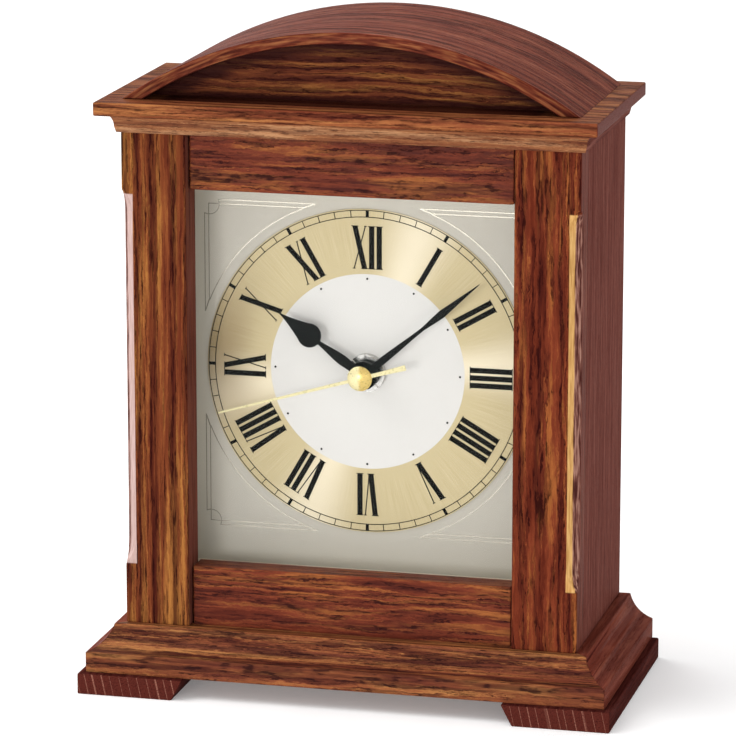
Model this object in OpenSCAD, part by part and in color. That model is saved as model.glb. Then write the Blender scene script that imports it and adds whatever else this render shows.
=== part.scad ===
// Wooden mantel clock: moulded case, glazed dial, quartz movement, hinged back door.
// Millimetres. +Z up, X to the viewer's right, the dial faces -Y.
// The origin is on the table, under the middle of the two feet.

/* [Case] */
// Width over the two feet
overall_w = 205; // [200:1:214]
// Depth over the two feet
overall_d = 100; // [98:1:104]
// Width of the case between its outer sides
case_w = 174; // [172:1:178]
// Depth of the case, front of the pillars to the rear of the sides
case_d = 84; // [82:1:86]
// Height of the case, top of the base to the underside of the bed moulding
case_h = 188.7; // [186:0.1:200]
// Width of each front pillar
pillar_w = 24.8; // [23:0.1:25.6]
// Thickness of each front pillar
pillar_t = 12.5; // [12:0.1:13]
// Thickness of the side panels
side_t = 9; // [8:0.5:10]
// Height of the upper rail
upper_rail_h = 21.1; // [18:0.1:24]
// Height of the lower rail
lower_rail_h = 23.1; // [18:0.1:24]
// Leg length of the stopped chamfers on the pillars
chamfer = 4.2; // [3:0.1:5]

/* [Base and feet] */
// Height of the feet
foot_h = 8; // [6:0.5:12]
// Width of a foot where it rests
foot_w = 37; // [30:1:42]
// How much wider a foot is at its top
foot_bevel = 4.2; // [2:0.1:6]
// Height of the moulded base board
base_h = 17.3; // [16:0.1:20]
// Height of the flat band along the foot of the base board
band_h = 7.7; // [6:0.1:9]
// How far the base board stands out beyond the case at each side
base_side = 13; // [12:0.5:13.5]
// How far the base board stands out in front of the case
base_front = 11.5; // [11:0.5:12]

/* [Cornice and arch] */
// Height of the bed moulding
mould_h = 7.3; // [6.5:0.1:9]
// Thickness of the cornice slab
slab_h = 5.1; // [4:0.1:7]
// How far the slab stands out beyond the case at each side
slab_side = 7.6; // [7:0.1:9]
// How far the slab stands out in front of the case
slab_front = 10; // [9:0.5:12]
// Height of the arch above the slab
arch_rise = 27.8; // [24:0.1:32]
// Thickness of the bent arch board
arch_t = 4.4; // [4:0.1:5]
// Length of the arch from front to rear
arch_d = 77.5; // [70:0.5:80]

/* [Dial and hands] */
// Radius of the outer line of the minute track
dial_r = 62; // [60:0.5:62.5]
// Hour angle of the hour hand at rest, clockwise from twelve
hour_angle = 304.6; // [0:0.1:360]
// Angle of the minute hand at rest, clockwise from twelve
minute_angle = 50; // [0:0.1:360]
// Angle of the second hand at rest, clockwise from twelve
second_angle = 253.5; // [0:0.1:360]

/* [Back door] */
// Width of the door
door_w = 110; // [90:1:116]
// Height of the door
door_h = 130; // [100:1:140]
// Gap between the door and its frame
door_gap = 0.7; // [0.5:0.1:1]

/* [Hidden] */
$fn = 64;
eps = 0.01;

// Depth planes of the case
feet_front = -overall_d / 2;
feet_back = overall_d / 2;
case_back = feet_back - 1.5;
case_front = case_back - case_d;
rail_front = case_front + 3;
pillar_back = case_front + pillar_t;
back_recess = 2;
back_t = 6;
back_face = case_back - back_recess;
back_inner = back_face - back_t;

// Heights of the case
base_top = foot_h + base_h;
case_top = base_top + case_h;
slab_bottom = case_top + mould_h;
slab_top = slab_bottom + slab_h;

// Half widths of the case
case_x = case_w / 2;
opening_x = case_x - pillar_w;
inner_x = case_x - side_t;
opening_low = base_top + lower_rail_h;
opening_high = case_top - upper_rail_h;

// Base board
base_x = case_x + base_side;
base_y = case_front - base_front;
cove_w = 8.6;
cove_fillet = 1.3;
cove_r = 13;
base_strip_w = 25;

// Bed moulding
bed_bottom_side = 2.1;
bed_bottom_front = 1.5;
bed_cove_w = 3.4;
bed_fillet = 2.2;
bed_strip_w = 16;
bed_slant = 0.6;
bed_x = case_x + bed_bottom_side;
bed_depth = case_d + bed_bottom_front;
bed_front = case_back - bed_depth - bed_cove_w;

// Arch: the outer face springs from the slab in line with the case sides
arch_half = case_x - 0.6;
arch_r = (arch_half * arch_half + arch_rise * arch_rise) / (2 * arch_rise);
arch_centre = slab_top + arch_rise - arch_r;
arch_back = case_front + arch_d;
panel_recess = 12.5;
arch_panel_t = 5;

// Tenons that hold the rails in the pillars
tenon_l = 6;
tenon_t = 5;
tenon_shoulder = 3;
joint_gap = 0.8;

// Dial and its planes, front to back
glass_t = 2;
glass_x = 70;
glass_margin = 7;
dial_face = -6.5;
dial_t = 1;
dial_back = dial_face + dial_t;
skin_t = 0.5;
print_t = 0.12;
ring_face = dial_face - skin_t;
dial_z = 121.2;
plate_x = 76;
plate_low = 37;
plate_high = 203;
centre_r = dial_r * 0.606;

// Nested tubes of the hand shafts
second_r = 0.6;
cannon_r = 1.7;
pipe_r = 3;
bush_in_r = 3.05;
bush_r = 4;
run_fit = 0.05;

// Movement case
move_x = 28;
move_wall = 1;
move_front = dial_back + 1;
move_depth = 17;
move_back = move_front + move_depth;
cover_t = 1;
plate_y = 3.6;
plate_t = 1;
bay_wall_z = -11.8;
board_y = 9;
stator_y = [8.2, 9.4];
core_z = 20.75;

// Gear train: tooth counts and centre distances
z_seconds_pinion = 8;
z_third = 60;
z_third_pinion = 8;
z_centre = 64;
z_cannon = 12;
z_motion = 36;
z_motion_pinion = 10;
z_hour = 40;
z_seconds = 40;
z_mid_pinion = 8;
z_mid = 48;
z_rotor = 8;
z_set = 14;
third_dist = 10.8;
motion_dist = 12;
mid_dist = 8.64;
rotor_dist = 8.4;
set_dist = 12.5;
third_dir = 30;
motion_dir = 135;
mid_dir = 80;
rotor_dir = 20;
set_dir = 164;
pivot_r = 0.3;
arbor_r = 0.5;
set_r = 1.2;
third_pos = polar(third_dist, third_dir);
motion_pos = polar(motion_dist, motion_dir);
mid_pos = polar(mid_dist, mid_dir);
rotor_pos = mid_pos + polar(rotor_dist, rotor_dir);
set_pos = motion_pos + polar(set_dist, set_dir);

// Battery
battery_r = 7.1;
battery_l = 49;
battery_nub = 1.2;
battery_y = 4.5;
battery_z = -19.3;
bay_x = 25.6;
bay_half = battery_r + 0.1;

// Hinges
hinge_x = -door_w / 2 - door_gap / 2;
hinge_y = back_face + 1.5;
hinge_levels = [85, 155];
hinge_h = 16;
knuckle_r = 1.45;
hinge_pin_r = 0.7;
leaf_t = 0.8;
leaf_w = 10;
knuckle_h = 5.2;
knuckle_gap = 0.2;
hinge_screw_r = 0.75;
hinge_screw_l = 4.5;
door_z = 120;
notch_r = 9;
magnet_z = 160;
strike_t = 0.8;

// ---------- helpers ----------

function polar(r, a) = [r * cos(a), r * sin(a)];

// Angle of a tooth on gear B that meshes with gear A, whose tooth is at angle a_phase
function mesh_phase(dir, a_phase, za, zb) =
    dir + 180 + ((dir - a_phase) * za - 180) / zb;

// A flat outline drawn in X and Z, given a thickness from y0 to y1
module slab_y(y0, y1) {
    translate([0, y1, 0]) rotate([90, 0, 0]) linear_extrude(y1 - y0) children();
}

// A round bar along Y
module bar_y(r, y0, y1, x = 0, z = 0) {
    translate([x, y1, z]) rotate([90, 0, 0]) cylinder(r = r, h = y1 - y0);
}

// A tube along Y
module tube_y(r_out, r_in, y0, y1, x = 0, z = 0) {
    difference() {
        bar_y(r_out, y0, y1, x, z);
        bar_y(r_in, y0 - 1, y1 + 1, x, z);
    }
}

// A box from two opposite corners
module box(a, b) {
    translate(a) cube(b - a);
}

// Everything of the movement is drawn about the hand shaft
module at_dial() {
    translate([0, 0, dial_z]) children();
}

// Mirror a left-hand piece to the right
module right() {
    mirror([1, 0, 0]) children();
}

// Round-headed screw along -Y, its head standing on the face at y = 0
module screw_in(r, l, head_r, head_h) {
    difference() {
        bar_y(head_r, 0, head_h);
        box([-head_r - 1, head_h * 0.5, -0.25], [head_r + 1, head_h + 1, 0.25]);
    }
    bar_y(r, -l, eps);
}

// Spur gear outline with straight-sided teeth and some backlash
module gear_2d(teeth, module_mm, phase = 0) {
    r_tip = module_mm * (teeth / 2 + 0.85);
    r_root = module_mm * (teeth / 2 - 1.15);
    step = 360 / teeth;
    polygon([for (i = [0:teeth - 1], c = [[-0.21, 0], [-0.09, 1], [0.09, 1], [0.21, 0]])
        polar(c[1] == 1 ? r_tip : r_root, phase + step * (i + c[0]))]);
}

// ---------- case ----------

module foot_left() {
    left = -overall_w / 2;
    right = left + foot_w;
    color("saddlebrown")
        difference() {
            slab_y(feet_front, feet_back)
                polygon([[left, 0], [right, 0], [right + foot_bevel, foot_h], [left, foot_h]]);
            for (p = base_screw_points) translate(p) {
                base_screw();
                translate([0, 0, -screw_sunk - 1]) cylinder(r = screw_head_r, h = screw_sunk + 1);
            }
        }
}

module foot_right() {
    right() foot_left();
}

// Section of a moulded edge: a solid from x = 0 to reach, with a cove cut into its outer top
module cove_section(reach, low, high) {
    rise = high - cove_fillet - low;
    chord = norm([cove_w, rise]);
    sag = sqrt(cove_r * cove_r - chord * chord / 4);
    mid = [reach - cove_w / 2, low + rise / 2];
    out = [rise, cove_w] / chord;
    difference() {
        square([reach, high]);
        translate(mid + out * sag) circle(cove_r, $fn = 128);
        translate([reach - cove_w, high - cove_fillet]) square([cove_w + 1, cove_fillet + 1]);
    }
}

// The whole base with its moulded edge on three sides, before it is parted into board and mouldings
module base_blank() {
    depth = feet_back - base_y;
    translate([0, 0, foot_h]) intersection() {
        translate([0, feet_back, 0]) rotate([90, 0, 0]) linear_extrude(depth) union() {
            cove_section(base_x, band_h, base_h);
            mirror([1, 0]) cove_section(base_x, band_h, base_h);
        }
        translate([-base_x, feet_back, 0]) rotate([90, 0, 90])
            linear_extrude(2 * base_x) mirror([1, 0])
                cove_section(depth, band_h, base_h);
    }
}

// Plan outlines of a moulding that runs round the front and sides: w wide, mitred at 45 degrees
function inner_outline(x, front, back, w) =
    [[w - x, front + w], [x - w, front + w], [x - w, back], [w - x, back]];
function front_outline(x, front, w) = [[-x, front], [x, front], [x - w, front + w], [w - x, front + w]];
function left_outline(x, front, back, w) = [[-x, front], [w - x, front + w], [w - x, back], [-x, back]];

// The part of its children inside a plan outline
module part_off(outline_xy, low, high) {
    intersection() {
        children();
        translate([0, 0, low - 1]) linear_extrude(high - low + 2) polygon(outline_xy);
    }
}

module base_board() {
    color("peru")
        part_off(inner_outline(base_x, base_y, feet_back, base_strip_w), foot_h, base_top) base_blank();
}

module base_moulding_front() {
    color("peru")
        part_off(front_outline(base_x, base_y, base_strip_w), foot_h, base_top) base_blank();
}

module base_moulding_left() {
    color("peru")
        difference() {
            part_off(left_outline(base_x, base_y, feet_back, base_strip_w), foot_h, base_top) base_blank();
            for (p = base_screw_points) translate(p) base_screw();
        }
}

module base_moulding_right() {
    right() base_moulding_left();
}

// Cutter for one stopped chamfer on the outer front edge of a left-hand pillar
module stopped_chamfer() {
    depth = chamfer / sqrt(2);
    run = 9;
    run_r = (run * run + depth * depth) / (2 * depth);
    low = base_top + 23;
    high = case_top - 21;
    translate([-case_x, case_front, 0]) rotate([0, 0, -135]) {
        translate([-depth, -10, low + run]) cube([20, 20, high - low - 2 * run]);
        for (z = [low + run, high - run])
            translate([run_r - depth, 10, z]) rotate([90, 0, 0]) cylinder(r = run_r, h = 20);
    }
}

// The tenons of both rails at the left end
module tenon_left(low, high, slack = 0) {
    box([-opening_x - tenon_l, rail_front + 2.5 - slack, low + tenon_shoulder - slack],
        [-opening_x + joint_gap + 1, rail_front + 2.5 + tenon_t + slack, high - tenon_shoulder + slack]);
}

module pillar_left() {
    color("sienna")
        difference() {
            box([-case_x, case_front, base_top], [-opening_x, pillar_back, case_top]);
            stopped_chamfer();
            tenon_left(base_top, opening_low);
            tenon_left(opening_high, case_top);
        }
}

module pillar_right() {
    right() pillar_left();
}

module rail(low, high) {
    color("sienna") {
        box([-opening_x + joint_gap, rail_front, low], [opening_x - joint_gap, pillar_back, high]);
        tenon_left(low, high);
        right() tenon_left(low, high);
    }
}

module upper_rail() {
    rail(opening_high, case_top);
}

module lower_rail() {
    rail(base_top, opening_low);
}

// Rebate for the back frame
rebate_w = 4;

module side_panel_left() {
    color("saddlebrown")
        difference() {
            box([-case_x, pillar_back, base_top], [-inner_x, case_back, case_top]);
            box([-inner_x - rebate_w, back_inner, base_top - 1], [-inner_x + 1, case_back + 1, case_top + 1]);
            for (p = frame_screw_points)
                if (p[0] < 0) translate([p[0], 0, p[1]])
                    bar_y(frame_screw_r, back_face - frame_screw_l, back_inner + 1);
            for (p = base_screw_points) translate(p) base_screw();
        }
}

module side_panel_right() {
    right() side_panel_left();
}

// Points up one edge of the bed moulding: a slanted fillet, then a cove that flares to the top
function bed_edge(reach) = concat([[reach - bed_slant, 0], [reach, bed_fillet]],
    [for (a = [0:10:90]) [
        reach + bed_cove_w * (1 - cos(a)),
        bed_fillet + (mould_h - bed_fillet) * sin(a)
    ]]);

// The whole bed moulding under the slab, before it is parted into board and strips
module bed_blank() {
    top_x = bed_x + bed_cove_w;
    edge = bed_edge(bed_x);
    other_edge = [for (i = [len(edge) - 1:-1:0]) [-edge[i].x, edge[i].y]];
    translate([0, 0, case_top])
        intersection() {
            translate([0, case_back, 0]) rotate([90, 0, 0])
                linear_extrude(bed_depth + bed_cove_w + 1)
                    polygon(concat(edge, other_edge));
            translate([-top_x - 1, case_back, 0]) rotate([90, 0, 90]) linear_extrude(2 * top_x + 2)
                mirror([1, 0]) polygon(concat([[0, 0]], bed_edge(bed_depth), [[0, mould_h]]));
        }
}

module bed_part(outline_xy) {
    color("peru") part_off(outline_xy, case_top, slab_bottom) bed_blank();
}

module top_board() {
    bed_part(inner_outline(bed_x + bed_cove_w, bed_front, case_back, bed_strip_w));
}

module bed_moulding_front() {
    bed_part(front_outline(bed_x + bed_cove_w, bed_front, bed_strip_w));
}

module bed_moulding_left() {
    bed_part(left_outline(bed_x + bed_cove_w, bed_front, case_back, bed_strip_w));
}

module bed_moulding_right() {
    right() bed_moulding_left();
}

module cornice_slab() {
    color("peru")
        box([-case_x - slab_side, case_front - slab_front, slab_bottom],
            [case_x + slab_side, case_back, slab_top]);
}

// Part of a disc above the slab, for the arch and its panels
module arch_segment(r) {
    intersection() {
        translate([0, arch_centre]) circle(r, $fn = 256);
        translate([-case_x - 10, slab_top]) square([2 * case_x + 20, arch_rise + 10]);
    }
}

module arch_roof() {
    color("sienna")
        slab_y(case_front, arch_back) difference() {
            arch_segment(arch_r);
            arch_segment(arch_r - arch_t);
        }
}

module arch_front_panel() {
    color("saddlebrown")
        slab_y(case_front + panel_recess, case_front + panel_recess + arch_panel_t)
            arch_segment(arch_r - arch_t);
}

module arch_rear_panel() {
    color("saddlebrown")
        slab_y(arch_back - 3 - arch_panel_t, arch_back - 3) arch_segment(arch_r - arch_t);
}

// ---------- back frame, door and hinges ----------

frame_x = inner_x + rebate_w;
frame_screw_x = inner_x + 1.7;
frame_screw_r = 1.2;
frame_screw_l = 14;
frame_screw_points = [for (x = [-frame_screw_x, frame_screw_x], z = [40, 120, 199]) [x, z]];

module back_frame() {
    color("tan")
        difference() {
            box([-frame_x, back_inner, base_top], [frame_x, back_face, case_top]);
            box([-door_w / 2 - door_gap, back_inner - 1, door_z - door_h / 2 - door_gap],
                [door_w / 2 + door_gap, back_face + 1, door_z + door_h / 2 + door_gap]);
            for (p = frame_screw_points)
                translate([p[0], 0, p[1]]) bar_y(frame_screw_r, back_inner - 1, back_face + 1);
            hinge_screw_holes(-1);
        }
}

module back_door() {
    color("tan")
        difference() {
            box([-door_w / 2, back_inner, door_z - door_h / 2], [door_w / 2, back_face, door_z + door_h / 2]);
            bar_y(notch_r, back_inner - 1, back_face + 1, door_w / 2, door_z);
            hinge_screw_holes(1);
            magnet_strike();
        }
}

// Centres of the four hinge screws on one side of the pins (side is -1 for the frame)
function hinge_screw_points(side) =
    [for (z = hinge_levels, dz = [-5, 5]) [hinge_x + side * (leaf_w - 4.2), z + dz]];

module hinge_screw_holes(side) {
    for (p = hinge_screw_points(side))
        translate([p[0], 0, p[1]]) bar_y(hinge_screw_r, back_face - hinge_screw_l, back_face + 1);
}

// Leaves on one side of the pins, with their knuckles; the other side's knuckles are cut clear
module hinge_leaves(side, spans, other_spans) {
    edge = door_gap / 2 + 0.1;
    color("goldenrod")
        difference() {
            union() {
                for (z = hinge_levels) {
                    box([min(side * edge, side * leaf_w) + hinge_x, back_face, z - hinge_h / 2],
                        [max(side * edge, side * leaf_w) + hinge_x, back_face + leaf_t, z + hinge_h / 2]);
                    for (s = spans)
                        translate([hinge_x, hinge_y, z + s[0]]) cylinder(r = knuckle_r, h = s[1] - s[0]);
                }
            }
            for (z = hinge_levels) {
                translate([hinge_x, hinge_y, z - hinge_h]) cylinder(r = hinge_pin_r + 0.04, h = 2 * hinge_h);
                for (s = other_spans)
                    translate([hinge_x, hinge_y, z + s[0] - knuckle_gap])
                        cylinder(r = knuckle_r + 0.2, h = s[1] - s[0] + 2 * knuckle_gap);
            }
            for (p = hinge_screw_points(side))
                translate([p[0], 0, p[1]]) bar_y(hinge_screw_r, back_face - 1, back_face + 2);
        }
}

outer_spans = [[-hinge_h / 2, -hinge_h / 2 + knuckle_h], [hinge_h / 2 - knuckle_h, hinge_h / 2]];
inner_spans = [[-hinge_h / 2 + knuckle_h + knuckle_gap, hinge_h / 2 - knuckle_h - knuckle_gap]];

module hinge_frame_leaves() {
    hinge_leaves(-1, outer_spans, inner_spans);
}

module hinge_door_leaves() {
    hinge_leaves(1, inner_spans, outer_spans);
}

module hinge_pins() {
    color("gold")
        for (z = hinge_levels)
            translate([hinge_x, hinge_y, z - hinge_h / 2]) {
                cylinder(r = hinge_pin_r, h = hinge_h);
                for (e = [-0.5, hinge_h]) translate([0, 0, e]) cylinder(r = 1.2, h = 0.5);
            }
}

module hinge_screws(side) {
    color("gold")
        for (p = hinge_screw_points(side))
            translate([p[0], back_face + leaf_t, p[1]])
                screw_in(hinge_screw_r, hinge_screw_l + leaf_t, 1.3, 0.6);
}

module hinge_frame_screws() {
    hinge_screws(-1);
}

module hinge_door_screws() {
    hinge_screws(1);
}

// Magnet block on the inside of the frame; it stops just short of the strike
module door_magnet() {
    x = door_w / 2;
    color("dimgray") {
        box([x - 9, back_inner - 6, magnet_z - 5], [x + 8, back_inner - 0.3, magnet_z + 5]);
        box([x + door_gap + 0.2, back_inner - 0.4, magnet_z - 5], [x + 8, back_inner, magnet_z + 5]);
    }
}

module magnet_strike() {
    x = door_w / 2;
    color("silver")
        box([x - 10, back_inner, magnet_z - 6], [x - 1, back_inner + strike_t, magnet_z + 6]);
}

// ---------- screws ----------

screw_r = 1.5;
screw_l = 35;
screw_sunk = 1;
screw_head_r = 3.2;
base_screw_points = [for (x = [-case_x + side_t / 2, case_x - side_t / 2], y = [-14, 34]) [x, y, screw_sunk]];

// Long countersunk wood screw through foot and base into a side panel, its head at the bottom
module base_screw() {
    cylinder(r1 = screw_head_r, r2 = screw_r, h = screw_head_r - screw_r);
    cylinder(r = screw_r, h = screw_l);
}

module base_screws() {
    color("gray") for (p = base_screw_points) translate(p) base_screw();
}

module back_frame_screws() {
    color("gray")
        for (p = frame_screw_points)
            translate([p[0], back_face, p[1]]) screw_in(frame_screw_r, frame_screw_l, 2.2, 1.3);
}

dial_screw_r = 1;
dial_screw_l = 8;
dial_screw_points = [for (x = [-73, 73], z = [52, 188]) [x, z]];

module dial_screws() {
    color("silver")
        for (p = dial_screw_points)
            translate([p[0], dial_back, p[1]]) screw_in(dial_screw_r, dial_screw_l, 2.1, 1.2);
}

// ---------- glass, spacers and dial ----------

glass_low = opening_low - glass_margin;
glass_high = opening_high + glass_margin;
glass_back = pillar_back + glass_t;

module glass_pane() {
    color([0.8, 0.9, 0.9, 0.3])
        box([-glass_x, pillar_back, glass_low], [glass_x, glass_back, glass_high]);
}

// Frame that holds the glass in front and the dial plate behind
module spacer_frame() {
    bar_top = 5;
    bar_low = 2.5;
    color("wheat")
        difference() {
            box([-inner_x, pillar_back, glass_low], [inner_x, dial_face, glass_high]);
            box([-glass_x, pillar_back - 1, glass_low - 1], [glass_x, glass_back, glass_high + 1]);
            box([-glass_x, pillar_back - 1, glass_low + bar_low],
                [glass_x, dial_face + 1, glass_high - bar_top]);
            for (p = dial_screw_points)
                translate([p[0], 0, p[1]]) bar_y(dial_screw_r, dial_back - dial_screw_l, dial_face + 1);
        }
}

module dial_plate() {
    color("gainsboro")
        difference() {
            box([-plate_x, dial_face, plate_low], [plate_x, dial_back, plate_high]);
            at_dial() bar_y(bush_r + 0.15, dial_face - 1, dial_back + 1);
            for (p = dial_screw_points)
                translate([p[0], 0, p[1]]) bar_y(dial_screw_r, dial_face - 1, dial_back + 1);
        }
}

module chapter_ring() {
    color("gold") at_dial() tube_y(dial_r + 0.4, centre_r, ring_face, dial_face, $fn = 180);
}

module dial_centre() {
    color("white") at_dial() tube_y(centre_r, bush_r + 0.15, ring_face, dial_face, $fn = 180);
}

// Roman numerals: each stroke is [offset at the foot, offset at the top, width]
thick = 2;
thin = 0.4;
numeral_in = dial_r * 0.637;
numeral_out = dial_r * 0.902;
dot_at = dial_r * 0.577;
dot_r = 0.4;
track_in = dial_r * 0.959;
line_w = 0.28;
hour_mark_w = 1.2;
function glyph_w(g) = g == "I" ? 2.9 : (g == "V" ? 5.7 : 6.3);
function strokes(g) = g == "I" ? [[0, 0, thick]]
    : (g == "V" ? [[0.1, -1.7, thick], [0.7, 2.2, thin]] : [[1.9, -1.9, thick], [-2.2, 2.2, thin]]);
function advance(word, n) = n <= 0 ? 0 : glyph_w(word[n - 1]) + advance(word, n - 1);
hours = ["I", "II", "III", "IIII", "V", "VI", "VII", "VIII", "IX", "X", "XI", "XII"];

// A tapered bar with a small serif at each end
module stroke(s) {
    serif = 0.35;
    serif_t = 0.3;
    polygon([[s[0] - s[2] / 2, numeral_in], [s[0] + s[2] / 2, numeral_in],
        [s[1] + s[2] / 2, numeral_out], [s[1] - s[2] / 2, numeral_out]]);
    for (e = [[s[0], numeral_in], [s[1], numeral_out - serif_t]])
        translate([e[0] - s[2] / 2 - serif, e[1]]) square([s[2] + 2 * serif, serif_t]);
}

module hour_numerals() {
    slab_y(ring_face - print_t, ring_face) for (h = [1:12]) {
        word = hours[h - 1];
        total = advance(word, len(word));
        rotate(-30 * h) for (i = [0:len(word) - 1])
            translate([-total / 2 + advance(word, i) + glyph_w(word[i]) / 2, 0])
                for (s = strokes(word[i])) stroke(s);
    }
}

module hour_dots() {
    for (h = [1:12]) {
        p = polar(dot_at, 30 * h);
        bar_y(dot_r, ring_face - print_t, ring_face, p[0], p[1], $fn = 24);
    }
}

// Two circles with a mark for each minute between them, wider at each hour
module minute_track() {
    slab_y(ring_face - print_t, ring_face) union() {
        for (r = [track_in, dial_r]) difference() {
            circle(r, $fn = 180);
            circle(r - line_w, $fn = 180);
        }
        for (m = [0:59]) {
            w = m % 5 == 0 ? hour_mark_w : line_w;
            rotate(-6 * m) translate([-w / 2, track_in - line_w / 2]) square([w, dial_r - track_in]);
        }
    }
}

// Everything printed in black on the ring and the centre
module dial_print() {
    color("black") at_dial() {
        hour_numerals();
        hour_dots();
        minute_track();
    }
}

// Printed corner ornament, drawn for the upper right corner
ornament_in = 61.5;
ornament_step = 1.6;
ornament_arc = 66.2;
ornament_w = 0.35;
ornament_notch = 3.8;
ornament_point = 4.5;

module ornament() {
    tip = sqrt(ornament_arc * ornament_arc - ornament_in * ornament_in);
    point = tip - ornament_point;
    far = ornament_in + ornament_step;
    notch_mid = ornament_notch + ornament_w / 2;
    far_end = ornament_in - sqrt(notch_mid * notch_mid - ornament_step * ornament_step);
    // frame lines beside the top edge and, mirrored, beside the side edge
    for (flip = [0, 1]) mirror([flip, -flip]) {
        translate([tip, ornament_in]) square([ornament_in + ornament_w - tip, ornament_w]);
        translate([point, far]) square([far_end - point, ornament_w]);
        polygon([[point, far], [point, far + ornament_w], [tip + 0.6, ornament_in + ornament_w],
            [tip, ornament_in]]);
    }
    intersection() {
        difference() {
            circle(ornament_arc + ornament_w / 2, $fn = 180);
            circle(ornament_arc - ornament_w / 2, $fn = 180);
        }
        translate([tip, tip]) square(ornament_in - tip + ornament_w);
    }
    intersection() {
        translate([ornament_in, ornament_in]) difference() {
            circle(ornament_notch + ornament_w, $fn = 48);
            circle(ornament_notch, $fn = 48);
        }
        translate([ornament_in - 5, ornament_in - 5]) square(5 + ornament_step + ornament_w);
    }
}

module corner_ornaments() {
    color("dimgray") at_dial() slab_y(dial_face - print_t, dial_face)
        for (mx = [0, 1], mz = [0, 1]) mirror([mx, 0]) mirror([0, mz]) ornament();
}

// ---------- hands ----------

// A flat hand outline from [distance, half width] pairs, pointing to twelve
function outline(points) = concat([for (p = points) [p[1], p[0]]],
    [for (i = [len(points) - 1:-1:0]) [-points[i][1], points[i][0]]]);

hour_y = [-13.9, -13.3];
minute_y = [-16.6, -16];
second_y = [-18.9, -18.4];
bulb_at = 25.3;
bulb_r = 4.6;

module hour_hand() {
    tip = 39;
    // the spade flares from its tip along a concave curve into the round bulb
    flare = [for (t = [0:0.125:1]) [tip - t * (tip - bulb_at - 1.2), 0.18 + (bulb_r - 0.45) * pow(t, 1.25)]];
    neck = [[21.6, 0.65], [18.5, 0.95], [13, 1.75], [9.5, 2], [6, 1.7], [0, 1.7]];
    color("black") at_dial() rotate([0, hour_angle, 0]) {
        slab_y(hour_y[0], hour_y[1]) difference() {
            union() {
                polygon(outline(concat(flare, [[bulb_at - 1, 3]])));
                translate([0, bulb_at]) circle(bulb_r, $fn = 64);
                polygon(outline(neck));
                circle(5.4);
            }
            circle(pipe_r);
        }
        tube_y(5.4, pipe_r, -13.3 - eps, -11.3);
    }
}

module minute_hand() {
    leaf = [[58.8, 0.12], [52, 0.62], [46, 1.05], [40.5, 1.5], [36, 1.15], [31, 0.65], [26, 0.75],
        [18, 1.15], [11, 1.4], [5, 1.4], [0, 1.4]];
    color("black") at_dial() rotate([0, minute_angle, 0]) {
        slab_y(minute_y[0], minute_y[1]) difference() {
            union() {
                polygon(outline(leaf));
                circle(4.2);
            }
            circle(cannon_r);
        }
        tube_y(3, cannon_r, -16 - eps, -14.5);
    }
}

module second_hand() {
    color("gold") at_dial() rotate([0, second_angle, 0]) {
        slab_y(second_y[0], second_y[1]) difference() {
            union() {
                polygon(outline([[57.5, 0.35], [8, 0.6], [0, 0.7], [-8, 0.75], [-18.3, 1.05]]));
                circle(3.4);
            }
            circle(second_r);
        }
        tube_y(1.3, second_r, -18.4 - eps, -17.1);
        // domed cap
        translate([0, second_y[0] + eps, 0]) rotate([90, 0, 0]) rotate_extrude($fn = 64)
            intersection() {
                translate([0, -7]) circle(8.45, $fn = 128);
                square([4.75, 1.5]);
            }
    }
}

module fixing_nut() {
    color("silver") at_dial() difference() {
        tube_y(7.2, bush_r, ring_face - 2.4, ring_face);
        for (a = [0:45:135]) rotate([0, a, 0])
            box([-8, ring_face - 2.5, -0.5], [8, ring_face - 1.6, 0.5]);
    }
}

module dial_washer() {
    color("dimgray") at_dial() tube_y(9, bush_r + 0.15, dial_back, move_front);
}

// ---------- movement ----------

module movement_front_case() {
    color("dimgray") at_dial() {
        difference() {
            union() {
                difference() {
                    box([-move_x, move_front, -move_x], [move_x, move_back, move_x]);
                    box([-move_x + move_wall, move_front + move_wall, bay_wall_z + move_wall],
                        [move_x - move_wall, move_back + 1, move_x - move_wall]);
                    box([-move_x + move_wall, move_front + move_wall, -move_x + move_wall],
                        [move_x - move_wall, move_back + 1, bay_wall_z]);
                }
                bar_y(bush_r, -10.8, move_front + 0.5);
            }
            bar_y(bush_in_r, -11, move_front + 2);
            for (p = [third_pos, motion_pos])
                bar_y(pivot_r + run_fit, move_front + 0.3, move_front + 2, p[0], p[1]);
            bar_y(set_r + run_fit, move_front + 0.3, move_front + 2, set_pos[0], set_pos[1]);
        }
        // posts that carry the middle plate
        for (p = post_points) bar_y(1.4, move_front + 0.5, plate_y, p[0], p[1]);
    }
}

post_points = [[-24, 24.5], [24, 24.5], [24, -8.5], [-24, -8.5]];

board_posts = [[12.5, 3.5], [24.5, -8.5]];
stator_posts = [[-11.5, 12], [15.5, 18]];

module movement_middle_plate() {
    color("whitesmoke") at_dial() difference() {
        union() {
            box([-move_x + move_wall, plate_y, bay_wall_z + move_wall],
                [move_x - move_wall, plate_y + plate_t, move_x - move_wall]);
            for (p = board_posts) bar_y(1, plate_y + 0.5, board_y, p[0], p[1]);
            for (p = stator_posts) bar_y(1.2, plate_y + 0.5, stator_y[0], p[0], p[1]);
        }
        bar_y(second_r + run_fit, plate_y - 1, plate_y + 2);
        bar_y(set_r + run_fit, plate_y - 1, plate_y + 2, set_pos[0], set_pos[1]);
        for (p = [third_pos, motion_pos, mid_pos, rotor_pos])
            bar_y(pivot_r + run_fit, plate_y - 1, plate_y + 2, p[0], p[1]);
    }
}

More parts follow.
